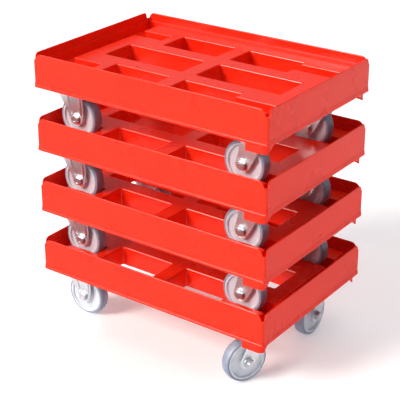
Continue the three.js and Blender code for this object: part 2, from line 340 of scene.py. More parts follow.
def centre_of(node: str) -> Vector:
    """Middle of a CAD node's box."""
    low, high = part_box(node)
    return (low + high) / 2


# Finishes ------------------------------------------------------------------------------


def linear(colour: str) -> tuple[float, float, float, float]:
    """Turns an sRGB hex colour into linear red, green, blue and alpha.

    Args:
        colour: Six hex digits after a hash sign.

    Returns:
        The linear colour.
    """
    channels = [int(colour[place:place + 2], 16) / 255 for place in (1, 3, 5)]
    return (*[c / 12.92 if c <= 0.04045 else ((c + 0.055) / 1.055) ** 2.4 for c in channels], 1.0)


def add_node(tree: NodeTree, kind: str, settings: dict | None = None,
             links: dict | None = None, stops: Sequence[tuple[float, str]] = ()) -> Node:
    """Adds a shader node.

    Args:
        tree: The node tree it goes into.
        kind: The node's type name.
        settings: Values for its inputs, or for its own properties, by name.
        links: Sockets that feed its inputs, by the input's name or number.
        stops: The two ends of a colour ramp, as places from 0 to 1 with sRGB hex colours.

    Returns:
        The node.
    """
    node = tree.nodes.new(kind)
    for name, value in (settings or {}).items():
        if name in node.inputs:
            node.inputs[name].default_value = value
        else:
            setattr(node, name, value)
    for name, source in (links or {}).items():
        tree.links.new(source, node.inputs[name])
    if stops:
        for element, (place, colour) in zip(node.color_ramp.elements, stops):
            element.position, element.color = place, linear(colour)
    return node


def per_metre(size_mm: float) -> float:
    """Scale of a noise or wave pattern whose features are about that many millimetres."""
    return 1 / (size_mm * MM)


def new_material(name: str) -> tuple[Material, NodeTree, NodeSocket]:
    """Starts a material with nothing but its output.

    Args:
        name: The finish's name.

    Returns:
        The material, its tree, and the socket with the position on the object.
    """
    material = bpy.data.materials.new(name)
    material.use_nodes = True
    tree = material.node_tree
    tree.nodes.clear()
    position = add_node(tree, "ShaderNodeTexCoord").outputs["Object"]
    return material, tree, position


@dataclass(frozen=True)
class Finish:
    """A finish whose colour and shine follow one soft pattern, over a fine grain.

    Pairs go from the pattern's low end to its high end. Sizes are in millimetres.
    """

    name: str
    colours: tuple[str, str]
    roughness: Span
    pattern_mm: float
    pattern_detail: float
    colour_span: Span
    roughness_span: Span
    grain_mm: float
    grain_detail: float
    grain_height: float
    grain_strength: float
    shader: tuple[tuple[str, float], ...]
    pattern_distortion: float = 0.0

    def grain_position(self, tree: NodeTree, position: NodeSocket) -> NodeSocket:
        """Gives the position that the grain is drawn by, here the plain one."""
        return position

    def ground(self, tree: NodeTree, position: NodeSocket) -> dict[str, NodeSocket]:
        """Gives the link to a coarser relief that lies under the grain, here none."""
        return {}

    def material(self) -> Material:
        """Builds the material.

        Returns:
            The finish, from the surface pattern and the grain.
        """
        material, tree, position = new_material(self.name)
        pattern = add_node(tree, "ShaderNodeTexNoise", {
            "Scale": per_metre(self.pattern_mm), "Detail": self.pattern_detail,
            "Distortion": self.pattern_distortion}, {"Vector": position}).outputs["Fac"]
        base = add_node(tree, "ShaderNodeValToRGB", links={"Fac": pattern},
                        stops=list(zip(self.colour_span, self.colours)))
        gloss = add_node(tree, "ShaderNodeMapRange", {
            "From Min": self.roughness_span[0], "From Max": self.roughness_span[1],
            "To Min": self.roughness[0], "To Max": self.roughness[1]}, {"Value": pattern})
        grain = add_node(tree, "ShaderNodeTexNoise", {
            "Scale": per_metre(self.grain_mm), "Detail": self.grain_detail},
            {"Vector": self.grain_position(tree, position)})
        relief = add_node(tree, "ShaderNodeBump", {
            "Strength": self.grain_strength, "Distance": self.grain_height * MM},
            {"Height": grain.outputs["Fac"], **self.ground(tree, position)})
        shader = add_node(tree, "ShaderNodeBsdfPrincipled", dict(self.shader), {
            "Base Color": base.outputs["Color"], "Roughness": gloss.outputs["Result"],
            "Normal": relief.outputs["Normal"]})
        add_node(tree, "ShaderNodeOutputMaterial", links={"Surface": shader.outputs["BSDF"]})
        return material


@dataclass(frozen=True)
class MouldedPolypropylene(Finish):
    """Injection-moulded polypropylene in signal red, as it leaves a lightly eroded steel mould.

    The eye sees a warm, even red with a soft, slightly waxy shine: sharp enough to draw a pale
    line along every rounded edge, and broken up by the faint waviness of a thin moulded wall.
    """

    name: str = "moulded_red_polypropylene"
    colours: tuple[str, str] = ("#F2260C", "#FC2E0E")
    roughness: Span = (0.24, 0.32)
    pattern_mm: float = 90.0
    pattern_detail: float = 2.0
    colour_span: Span = (0.1, 0.9)
    roughness_span: Span = (0.1, 0.9)
    grain_mm: float = 1.6  # eroded grain is about 0.1 mm, drawn coarser so that it shows
    grain_detail: float = 3.0
    grain_height: float = 0.03
    grain_strength: float = 0.1
    shader: tuple[tuple[str, float], ...] = (("IOR", 1.49), ("Specular IOR Level", 0.2))
    sink_mm: float = 38.0
    sink_height: float = 0.3
    sink_strength: float = 0.2

    def ground(self, tree: NodeTree, position: NodeSocket) -> dict[str, NodeSocket]:
        """Adds the waviness that sink marks leave in a thin wall, and links the grain to it."""
        sink = add_node(tree, "ShaderNodeTexNoise", {
            "Scale": per_metre(self.sink_mm), "Detail": 1.0}, {"Vector": position})
        waviness = add_node(tree, "ShaderNodeBump", {
            "Strength": self.sink_strength, "Distance": self.sink_height * MM},
            {"Height": sink.outputs["Fac"]})
        return {"Normal": waviness.outputs["Normal"]}


@dataclass(frozen=True)
class ZincPlatedSteel(Finish):
    """Pressed steel sheet, blue-passivated zinc, bright from a barrel bath.

    The eye sees a cool silver that mirrors the red decks softly, with faint cloudiness in the
    plating and fine upright drawing lines from the press.
    """

    name: str = "bright_zinc_plated_steel"
    colours: tuple[str, str] = ("#C0C5CC", "#D0D4D9")
    roughness: Span = (0.42, 0.35)
    pattern_mm: float = 22.0
    pattern_detail: float = 4.0
    colour_span: Span = (0.35, 0.6)
    roughness_span: Span = (0.3, 0.7)
    grain_mm: float = 0.9  # drawing lines are about 0.2 mm apart, drawn coarser so that they show
    grain_detail: float = 2.0
    grain_height: float = 0.05
    grain_strength: float = 0.03
    shader: tuple[tuple[str, float], ...] = (("Metallic", 1.0),)
    line_stretch: float = 20.0

    def grain_position(self, tree: NodeTree, position: NodeSocket) -> NodeSocket:
        """Draws the grain out into upright lines."""
        drawn = add_node(tree, "ShaderNodeMapping", {"Scale": (1.0, 1.0, 1 / self.line_stretch)},
                         {"Vector": position})
        return drawn.outputs["Vector"]


@dataclass(frozen=True)
class ThermoplasticRubber(Finish):
    """Moulded grey thermoplastic rubber of a non-marking tyre.

    The eye sees a matt blue-grey with a soft sheen on the crown, dulled where it rolls.
    """

    name: str = "grey_thermoplastic_rubber"
    colours: tuple[str, str] = ("#8490A8", "#98A1B4")
    roughness: Span = (0.47, 0.7)
    pattern_mm: float = 9.0
    pattern_detail: float = 5.0
    colour_span: Span = (0.45, 0.8)
    roughness_span: Span = (0.35, 0.7)
    grain_mm: float = 0.8
    grain_detail: float = 2.0
    grain_height: float = 0.06
    grain_strength: float = 0.2
    shader: tuple[tuple[str, float], ...] = (("IOR", 1.5), ("Sheen Weight", 0.08))


@dataclass(frozen=True)
class WheelPolypropylene(Finish):
    """Injection-moulded light grey polypropylene of a wheel centre.

    The eye sees a clean, cool off-white with a satin shine and faint flow marks round the hub.
    """

    name: str = "light_grey_polypropylene"
    colours: tuple[str, str] = ("#CAD2DD", "#D6DEE8")
    roughness: Span = (0.44, 0.32)
    pattern_mm: float = 16.0
    pattern_detail: float = 3.0
    colour_span: Span = (0.3, 0.6)
    roughness_span: Span = (0.3, 0.7)
    grain_mm: float = 1.2
    grain_detail: float = 2.0
    grain_height: float = 0.05
    grain_strength: float = 0.1
    shader: tuple[tuple[str, float], ...] = (("IOR", 1.49),)
    pattern_distortion: float = 0.4


@dataclass(frozen=True)
class PaintedFloor:
    """Matt white painted studio floor.

    The eye sees a plain, pale ground that only takes soft contact shadows.
    """

    name: str = "matt_white_paint"
    colour: str = "#FAFAFA"
    shade_colour: str = "#F7F7F8"
    glow: float = 0.28  # lifts the shadows, as light from all sides of a white room does
    patch_mm: float = 600.0

    def material(self) -> Material:
        """Builds the material.

        Returns:
            Matt paint with hardly visible patches.
        """
        material, tree, position = new_material(self.name)
        patches = add_node(tree, "ShaderNodeTexNoise", {"Scale": per_metre(self.patch_mm)},
                           {"Vector": position})
        base = add_node(tree, "ShaderNodeValToRGB", links={"Fac": patches.outputs["Fac"]},
                        stops=[(0.4, self.shade_colour), (0.6, self.colour)])
        shader = add_node(tree, "ShaderNodeBsdfPrincipled", {
            "Roughness": 0.9, "Specular IOR Level": 0.1, "Emission Color": linear(self.colour),
            "Emission Strength": self.glow}, {"Base Color": base.outputs["Color"]})
        add_node(tree, "ShaderNodeOutputMaterial", links={"Surface": shader.outputs["BSDF"]})
        return material


@dataclass
class Finishes:
    """The materials of the whole object, built once each."""

    plastic: Material = field(default_factory=lambda: MouldedPolypropylene().material())
    steel: Material = field(default_factory=lambda: ZincPlatedSteel().material())
    rubber: Material = field(default_factory=lambda: ThermoplasticRubber().material())
    wheel_centre: Material = field(default_factory=lambda: WheelPolypropylene().material())
    bolts: Material = field(default_factory=lambda: ZincPlatedSteel(
        name="bright_zinc_plated_fasteners", colours=("#B0B5BC", "#C0C4CA"),
        roughness=(0.38, 0.31), pattern_mm=7.0, grain_mm=0.5, grain_strength=0.02).material())


def dress(piece: Object, material: Material, body: str, slot: str, *nodes: str) -> None:
    """Gives a finished piece its material and body, and hides the CAD nodes it stands for.

    Args:
        piece: The finished piece.
        material: Its material.
        body: The CAD body it rides on.
        slot: Not used.
        nodes: CAD nodes that it replaces.
    """
    piece.data.materials.clear()
    piece.data.materials.append(material)
    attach(piece, body)
    if nodes:
        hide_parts(*nodes)
    log.info("%s rides on %s with %d faces", piece.name, body, len(piece.data.polygons))


# Deck ----------------------------------------------------------------------------------


@dataclass
class Deck:
    """The one-piece moulded deck, shaped in the lowest dolly's place. Sizes are in metres."""

    band_height: float = 11 * MM  # proud band along the wall's lower edge
    bead_height: float = 6 * MM  # lower, prouder half of the band
    band_proud: float = 1 * MM
    band_inset: float = 0.45 * MM  # the band's upper half, set back from the bead
    band_rounding: float = 0.9 * MM
    bead_rounding: float = 1.2 * MM
    wall_rounding: float = 0.6 * MM
    wall: float = 3 * MM
    ledge_depth: float = 19 * MM  # rim down to the inner ledge
    ledge: float = 3 * MM
    ledge_rounding: float = 1.5 * MM
    ledge_foot: float = 4 * MM  # how far below the ledge the upper hollow reaches
    corner_radius: float = 5 * MM
    hollow_radius: float = 2 * MM
    bore_radius: float = 3 * MM
    wall_height: float = 76 * MM
    load_depth: float = 28 * MM
    plate: float = 4 * MM
    skirt: float = 3 * MM
    pocket_depth: float = 45 * MM
    pocket_corner: float = 4 * MM
    pocket_lip: float = 3.2 * MM
    well_lip: float = 1.5 * MM
    lip_foot: float = 0.4 * MM  # how far below its lip a well's flare starts
    well_corner: float = 0.5 * MM
    gutter_width: float = 28 * MM
    gutter_depth: float = 14 * MM
    gutter_rounding: float = 1.5 * MM
    gutter_chamfer: float = 1.2 * MM
    centre_rail: float = 38 * MM
    middle_width: float = 87 * MM
    middle_end: float = 73 * MM
    outer_width: float = 79 * MM
    outer_side: float = 39 * MM
    end_rail: float = 25 * MM
    notch_depth: float = 14.5 * MM
    notch_reach: float = 8 * MM
    notch_corner: float = 3 * MM
    long_rounding: float = 14 * MM
    end_rounding: float = 9 * MM
    rim_rounding: float = 1.4 * MM
    skirt_long: float = 56 * MM
    skirt_short: float = 36 * MM
    skirt_slant: float = 26 * MM
    skirt_inset: float = 6 * MM
    skirt_wall: float = 5 * MM
    skirt_corner: float = 13 * MM
    foot_rounding: float = 1 * MM
    well_width: float = 40 * MM
    well_clearance: float = 0.6 * MM
    seat_gap: float = 0.3 * MM
    mount_gap: float = 0.3 * MM
    rib: float = 2.4 * MM
    rib_pitch: float = 52 * MM
    rib_offset: float = 9 * MM  # from the middle pockets to the long ribs
    long_rib_depth: float = 26 * MM
    side_rib_depth: float = 22 * MM
    pad_bar: float = 9 * MM

    def __post_init__(self) -> None:
        """Reads the deck's size and the casters' places from the frame."""
        low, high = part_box("dolly_1_deck")
        self.half_length = (high.x - low.x) / 2
        self.half_width = (high.y - low.y) / 2
        self.rim_z = high.z
        self.foot_z = low.z
        self.edge_z = self.rim_z - self.wall_height
        self.deck_z = self.rim_z - self.load_depth
        self.under_z = self.deck_z - self.plate
        wheel = centre_of("dolly_2_fixed_back_wheel")
        wheel_low, wheel_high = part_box("dolly_2_fixed_back_wheel")
        swivel = centre_of("dolly_1_swivel_back_plate")
        self.fixed_x, self.caster_y, self.nested_z = wheel
        self.swivel_x = swivel.x
        self.well_radius = (wheel_high.z - wheel_low.z) / 2 + self.well_clearance
        self.floor_z = wheel_low.z - self.seat_gap
        self.plate_low, self.plate_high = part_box("dolly_1_swivel_back_plate")
        bracket_low, bracket_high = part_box("dolly_1_fixed_back_bracket")
        self.fixed_pad_x = (bracket_low.x + bracket_high.x) / 2
        self.tray_end = self.half_length - self.band_proud - self.wall - self.ledge
        half_chord = math.sqrt(self.well_radius ** 2 - (self.nested_z - self.deck_z) ** 2)
        self.middle_reach = self.half_length - self.middle_end
        self.outer_reach = -self.fixed_x - half_chord - self.end_rail
        self.outer_y = self.half_width - self.outer_side - self.outer_width / 2
        self.half_chord = half_chord

    def slab(self, name: str, inset: float, z: Span, rounding: float) -> Object:
        """Adds a block over the deck's plan with rounded upright edges.

        Args:
            name: Name of the new object.
            inset: How far it is set in from the deck's outer faces.
            z: Lowest and highest Z.
            rounding: Radius of the upright edges.

        Returns:
            The block.
        """
        x, y = self.half_length - inset, self.half_width - inset
        return bevel_edges(block(name, (-x, x), (-y, y), z), rounding, 5, Edges.UPRIGHT)

    def rim_panels(self) -> list[Object]:
        """Shapes the upper parts of the four walls, each with its two rounded shoulders."""
        panels = []
        base_z = self.rim_z - self.notch_depth
        x, y = self.half_length - self.notch_reach, self.half_width - self.notch_reach
        outer = self.band_proud
        inner = outer + self.wall
        for side in (-1, 1):
            spans_y = [side * (self.half_width - inset) for inset in (inner, outer)]
            spans_x = [side * (self.half_length - inset) for inset in (inner, outer)]
            z = (base_z - OVERLAP, self.rim_z)
            panels.append((block("long_wall_top", (-x, x), spans_y, z), self.long_rounding, 1))
            panels.append((block("end_wall_top", spans_x, (-y, y), z), self.end_rounding, 0))
        made = []
        for panel, rounding, thin in panels:
            def shoulder(edge: bmesh.types.BMEdge, across: int = thin) -> bool:
                """True for the short top edges that run through the wall."""
                ends = [point.co for point in edge.verts]
                return (all(end.z > self.rim_z - TOUCH for end in ends)
                        and abs(ends[0][across] - ends[1][across]) > OVERLAP)
            bevel_edges(panel, rounding, 8, shoulder)
            made.append(bevel_edges(panel, self.rim_rounding, 3, lambda edge: (
                min(point.co.z for point in edge.verts) > base_z - OVERLAP / 2
                and sharper(50)(edge))))
        return made

    def notch_fillets(self) -> list[Object]:
        """Shapes the small webs that round the bottom of each corner notch."""
        base_z = self.rim_z - self.notch_depth
        webs = []
        for side_x in (-1, 1):
            for side_y in (-1, 1):
                x = [side_x * (self.half_length - self.notch_reach - OVERLAP),
                     side_x * (self.half_length - self.notch_reach + self.notch_corner)]
                y = [side_y * (self.half_width - inset)
                     for inset in (self.band_proud + self.wall, self.band_proud)]
                web = block("notch_web", x, y, (base_z - OVERLAP, base_z + self.notch_corner))
                with editing(web):
                    bpy.ops.mesh.bisect(
                        plane_co=(x[0], 0, base_z + self.notch_corner),
                        plane_no=(side_x * 1.0, 0, 1.25), use_fill=True, clear_outer=True)
                webs.append(web)
        return webs

    def walls(self) -> Object:
        """Shapes the outer shell: band, bead, walls and shoulders, open at the top."""
        edge, base_z = self.edge_z, self.rim_z - self.notch_depth
        band = self.slab("deck", self.band_inset, (edge, edge + self.band_height),
                         self.corner_radius)
        bevel_edges(band, self.band_rounding, 2, Edges.ALL)
        bead = self.slab("bead", 0, (edge, edge + self.bead_height), self.corner_radius)
        bevel_edges(bead, self.bead_rounding, 3, Edges.ALL)
        wall = self.slab("wall", self.band_proud, (edge + OVERLAP, base_z), self.corner_radius)
        bevel_edges(wall, self.wall_rounding, 2, Edges.TOP)
        combine(band, [bead, wall, *self.rim_panels(), *self.notch_fillets()], Cut.JOIN)
        inner = self.band_proud + self.wall
        step_z = self.rim_z - self.ledge_depth
        hollow = self.slab("upper_hollow", inner,
                           (step_z - self.ledge_foot, self.rim_z + OVERLAP), MM)
        return combine(band, [hollow], Cut.REMOVE)

    def ledge_ring(self) -> Object:
        """Shapes the thicker lower part of the inner walls, rounded where it steps in."""
        outer = self.band_proud + self.wall - OVERLAP
        inset = self.band_proud + self.wall + self.ledge
        step_z = self.rim_z - self.ledge_depth
        ring = self.slab("ledge_ring", outer, (self.under_z, step_z), self.hollow_radius)
        bore = self.slab("ledge_bore", inset, (self.under_z - OVERLAP, step_z + OVERLAP),
                         self.bore_radius)
        combine(ring, [bore], Cut.REMOVE)
        x, y = self.half_length - inset + TOUCH, self.half_width - inset + TOUCH
        return bevel_edges(ring, self.ledge_rounding, 2, lambda edge: (
            lying_at(step_z)(edge)
            and all(abs(point.co.x) <= x and abs(point.co.y) <= y for point in edge.verts)))

    def pocket_plans(self) -> list[tuple[Span, Span]]:
        """Plans of the six through pockets as X and Y spans."""
        plans = []
        for side in (-1, 1):
            near = side * self.centre_rail / 2
            plans.append(((near, side * self.middle_reach),
                          (-self.middle_width / 2, self.middle_width / 2)))
            for y in (-self.outer_y, self.outer_y):
                plans.append(((near, side * self.outer_reach),
                              (y - self.outer_width / 2, y + self.outer_width / 2)))
        return [(tuple(sorted(x)), tuple(sorted(y))) for x, y in plans]

    def flared_cutter(self, x: Span, y: Span, bottom_z: float, corner: float,
                      lip: float) -> Object:
        """Shapes a cutter that leaves a rounded lip where it breaks through the load surface.

        Args:
            x: X span of the opening.
            y: Y span of the opening.
            bottom_z: Where the cutter ends below.
            corner: Radius of its upright edges.
            lip: Radius of the lip.

        Returns:
            The cutter.
        """
        steps = 4
        cutter = block("cutter", x, y, (bottom_z, self.deck_z - lip))
        bevel_edges(cutter, corner, 4, Edges.UPRIGHT)
        centre = Vector((sum(x) / 2, sum(y) / 2, self.deck_z))
        half = Vector(((x[1] - x[0]) / 2, (y[1] - y[0]) / 2))
        top = self.deck_z - lip
        with editing(cutter):
            pick(cutter, "FACE", lambda face: face.normal.z > 0.9)
            grown = 0.0
            for step in range(1, steps + 1):
                angle = step / steps * math.pi / 2
                rise = lip * (math.sin(angle) - math.sin(angle - math.pi / 2 / steps))
                growth = lip * (1 - math.cos(angle))
                bpy.ops.mesh.extrude_region_move(TRANSFORM_OT_translate={"value": (0, 0, rise)})
                bpy.ops.transform.resize(
                    value=((half.x + growth) / (half.x + grown),
                           (half.y + growth) / (half.y + grown), 1),
                    center_override=(centre.x, centre.y, top))
                grown = growth
            bpy.ops.mesh.extrude_region_move(
                TRANSFORM_OT_translate={"value": (0, 0, OVERLAP)})
        return cutter

    def pockets(self) -> tuple[list[Object], list[Object]]:
        """Shapes the pockets.

        Returns:
            The walls that hang below the load surface, and the cutters of the openings.
        """
        skirts, cutters = [], []
        bottom = self.deck_z - self.pocket_depth
        for x, y in self.pocket_plans():
            skirt = block("pocket_skirt", (x[0] - self.skirt, x[1] + self.skirt),
                          (y[0] - self.skirt, y[1] + self.skirt), (bottom, self.under_z + OVERLAP))
            skirts.append(bevel_edges(skirt, self.pocket_corner + self.skirt, 4, Edges.UPRIGHT))
            cutters.append(self.flared_cutter(x, y, bottom - OVERLAP, self.pocket_corner,
                                              self.pocket_lip))
        return skirts, cutters

    def well_round(self, name: str, x: float, y: float, growth: float) -> Object:
        """Adds the round body of a wheel well, which lies across the deck.

        Args:
            name: Name of the new object.
            x: X of its axis.
            y: Y of its middle.
            growth: How much larger than the opening it is.

        Returns:
            The cylinder.
        """
        half = self.well_width / 2 + growth
        radius = self.well_radius + growth
        return rod(name, radius, Vector((x, y - half, self.nested_z)),
                   Vector((x, y + half, self.nested_z)), 96)

    def well_shell(self, x: float, y: float) -> Object:
        """Shapes the part of a well's shell that hangs below the load surface."""
        shell = self.well_round("well_shell", x, y, self.skirt)
        with editing(shell):
            bpy.ops.mesh.bisect(plane_co=(0, 0, self.under_z + OVERLAP), plane_no=(0, 0, 1),
                                use_fill=True, clear_outer=True)
        return shell

    def wells(self, y: float) -> tuple[list[Object], list[Object]]:
        """Shapes the wheel wells of one side.

        Args:
            y: Y of the casters' plane.

        Returns:
            The shells below the load surface, and the cutters.
        """
        half = self.well_width / 2
        across = (y - half, y + half)
        grown = (across[0] - self.skirt, across[1] + self.skirt)
        inner_x = self.outer_reach - self.skirt - OVERLAP
        flare_z = self.deck_z - self.well_lip - self.lip_foot
        corner, lip = self.well_corner, self.well_lip
        shells = [
            self.well_shell(self.fixed_x, y),
            self.well_shell(self.swivel_x, y),
            block("well_floor", (self.outer_reach, self.swivel_x), grown,
                  (self.floor_z - self.skirt, self.under_z + OVERLAP)),
        ]
        cutters = [
            self.well_round("fixed_well", self.fixed_x, y, 0),
            self.flared_cutter((self.fixed_x - self.half_chord, self.fixed_x + self.half_chord),
                               across, flare_z, corner, lip),
            self.well_round("swivel_well", self.swivel_x, y, 0),
            self.flared_cutter((inner_x, self.swivel_x), across, self.floor_z, corner, lip),
            self.flared_cutter((inner_x, self.swivel_x + self.half_chord), across, flare_z,
                               corner, lip),
        ]
        return shells, cutters

    def gutters(self) -> tuple[list[Object], list[Object]]:
        """Shapes the channels inside the two end walls, as solids and cutters."""
        inner_y = self.half_width - self.band_proud - self.wall
        floor = self.deck_z - self.gutter_depth
        start = self.tray_end - self.gutter_width
        solids, cutters = [], []
        for side in (-1, 1):
            solids.append(block(
                "gutter_shell",
                (side * (start - self.skirt), side * (self.tray_end + self.ledge + OVERLAP)),
                (-inner_y - OVERLAP, inner_y + OVERLAP),
                (floor - self.plate, self.under_z + OVERLAP)))
            y = inner_y - self.ledge
            cutter = block("gutter", (side * start, side * self.tray_end), (-y, y),
                           (floor, self.deck_z + OVERLAP))
            cutters.append(bevel_edges(cutter, self.gutter_rounding, 3, lying_at(floor)))
            lip_x = side * (start - self.gutter_chamfer)
            lip = block("gutter_lip", (lip_x, side * (start + OVERLAP)), (-y, y),
                        (self.deck_z - self.gutter_chamfer, self.deck_z + OVERLAP))
            with editing(lip):
                bpy.ops.mesh.bisect(plane_co=(lip_x, 0, self.deck_z),
                                    plane_no=(-side * 1.0, 0, -1.0), use_fill=True,
                                    clear_outer=True)
            cutters.append(lip)
        return solids, cutters

    def caster_pads(self, y: float) -> list[Object]:
        """Shapes the rib frames that the caster plates of one side are screwed to."""
        half_x = (self.plate_high.x - self.plate_low.x) / 2
        half_y = (self.plate_high.y - self.plate_low.y) / 2
        z = (self.plate_high.z + self.mount_gap, self.under_z + OVERLAP)
        cell_z = (z[0] - OVERLAP, z[1] - 2 * OVERLAP)
        inner_x, inner_y = half_x - self.skirt, half_y - self.skirt
        end_x, end_y = inner_x - 1.8 * self.pad_bar, half_y - 2.8 * self.pad_bar
        middle_x = end_x - self.skirt
        openings = ((-inner_x, -end_x, end_y), (end_x, inner_x, end_y),
                    (-middle_x, middle_x, inner_y))
        pads = []
        for x in (self.fixed_pad_x, self.swivel_x):
            pad = block("pad", (x - half_x, x + half_x), (y - half_y, y + half_y), z)
            cells = [block("cell", (x + from_x, x + to_x), (y - reach, y + reach), cell_z)
                     for from_x, to_x, reach in openings]
            pads.append(combine(pad, cells, Cut.REMOVE))
        return pads

    def ribs(self) -> list[Object]:
        """Shapes the stiffening ribs under the load surface and inside the long walls."""
        x_end = self.tray_end - self.gutter_width
        y_end = self.half_width - self.wall
        top = self.under_z + OVERLAP
        half = self.rib / 2
        long_y = self.middle_width / 2 + self.rib_offset
        ribs = [block("cross_rib", (-half, half), (-y_end, y_end),
                      (self.deck_z - self.pocket_depth, top))]
        for y in (-long_y, long_y):
            ribs.append(block("long_rib", (-x_end, x_end), (y - half, y + half),
                              (self.deck_z - self.long_rib_depth, top)))
        places = math.floor(self.outer_reach / self.rib_pitch)
        for number in range(1, places + 1):
            for side in (-1, 1):
                x = side * number * self.rib_pitch
                ribs.append(block("side_rib", (x - half, x + half), (-y_end, y_end),
                                  (self.deck_z - self.side_rib_depth, top)))
        return ribs

    def corner_skirt(self, side: int) -> Object:
        """Shapes the angled skirt below one corner of the swivel end.

        Args:
            side: Sign of the Y side it is on.

        Returns:
            The skirt with its ties to the wall.
        """
        outer_x, outer_y = self.half_length - self.skirt_inset, self.half_width - self.skirt_inset
        root = self.edge_z + self.band_height
        inner_x, inner_y = self.half_length - self.skirt_long, self.half_width - self.skirt_short

        def corner(reach_x: float, reach_y: float) -> Test:
            """Makes the test for the upright edge at one corner."""
            return lambda edge: (lying_at(reach_x, axis=0)(edge)
                                 and lying_at(side * reach_y, axis=1)(edge))

        skirt = block("corner_skirt", (inner_x, outer_x), (side * inner_y, side * outer_y),
                      (self.foot_z, root))
        bevel_edges(skirt, self.skirt_corner, 8, corner(outer_x, outer_y))
        in_x, in_y = outer_x - self.skirt_wall, outer_y - self.skirt_wall
        hollow = block("skirt_hollow", (inner_x - OVERLAP, in_x),
                       (side * (inner_y - OVERLAP), side * in_y),
                       (self.foot_z - OVERLAP, root + OVERLAP))
        bevel_edges(hollow, self.skirt_corner - self.skirt_wall, 6, corner(in_x, in_y))
        combine(skirt, [hollow], Cut.REMOVE)
        with editing(skirt):
            bpy.ops.mesh.bisect(
                plane_co=(0, side * inner_y, self.edge_z),
                plane_no=(0, -side * (self.edge_z - self.foot_z), -self.skirt_slant),
                use_fill=True, clear_outer=True)
        bevel_edges(skirt, self.foot_rounding, 2, lambda edge: (
            lying_at(self.foot_z)(edge) and sharper(40)(edge)))
        tie = self.band_proud + self.wall - OVERLAP
        ties = [
            block("long_tie", (inner_x, outer_x - self.skirt_corner),
                  (side * (outer_y - OVERLAP), side * (self.half_width - tie)),
                  (self.edge_z, root)),
            block("end_tie", (outer_x - OVERLAP, self.half_length - tie),
                  (side * inner_y, side * (outer_y - self.skirt_corner)), (self.edge_z, root)),
        ]
        return combine(skirt, ties, Cut.JOIN)

    def moulding(self) -> Object:
        """Puts the deck together.

        Returns:
            The finished moulding of the lowest dolly.
        """
        deck = self.walls()
        inner = self.band_proud + self.wall
        load = self.slab("load_surface", inner - OVERLAP, (self.under_z, self.deck_z),
                         self.hollow_radius)
        under = self.slab("under", inner, (self.edge_z - OVERLAP, self.under_z + OVERLAP),
                          self.hollow_radius)
        middle = self.slab("middle", inner, (self.under_z, self.rim_z - self.ledge_depth), MM)
        combine(deck, [under, middle], Cut.REMOVE)
        skirts, cutters = self.pockets()
        gutter_solids, gutter_cutters = self.gutters()
        solids = [load, self.ledge_ring(), *skirts, *gutter_solids, *self.ribs()]
        cutters += gutter_cutters
        for side in (-1, 1):
            shells, well_cutters = self.wells(side * self.caster_y)
            solids += [*shells, *self.caster_pads(side * self.caster_y), self.corner_skirt(side)]
            cutters += well_cutters
        combine(deck, solids, Cut.JOIN)
        with editing(deck):
            bpy.ops.mesh.quads_convert_to_tris()
        combine(deck, cutters, Cut.REMOVE)
        return smooth(deck, joins_flats=False)

    def build(self, finishes: Finishes, dollies: int) -> None:
        """Makes the deck of every dolly.

        Args:
            finishes: The object's materials.
            dollies: How many dollies the stack has.
        """
        pattern = self.moulding()
        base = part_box("dolly_1_deck")[0].z
        for number in range(1, dollies + 1):
            node = f"dolly_{number}_deck"
            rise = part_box(node)[0].z - base
            deck = placed_copy(pattern, f"{node}_moulding", Matrix.Translation((0, 0, rise)))
            dress(deck, finishes.plastic, f"dolly_{number}", "deck", node)
        discard(pattern)


# Casters -------------------------------------------------------------------------------


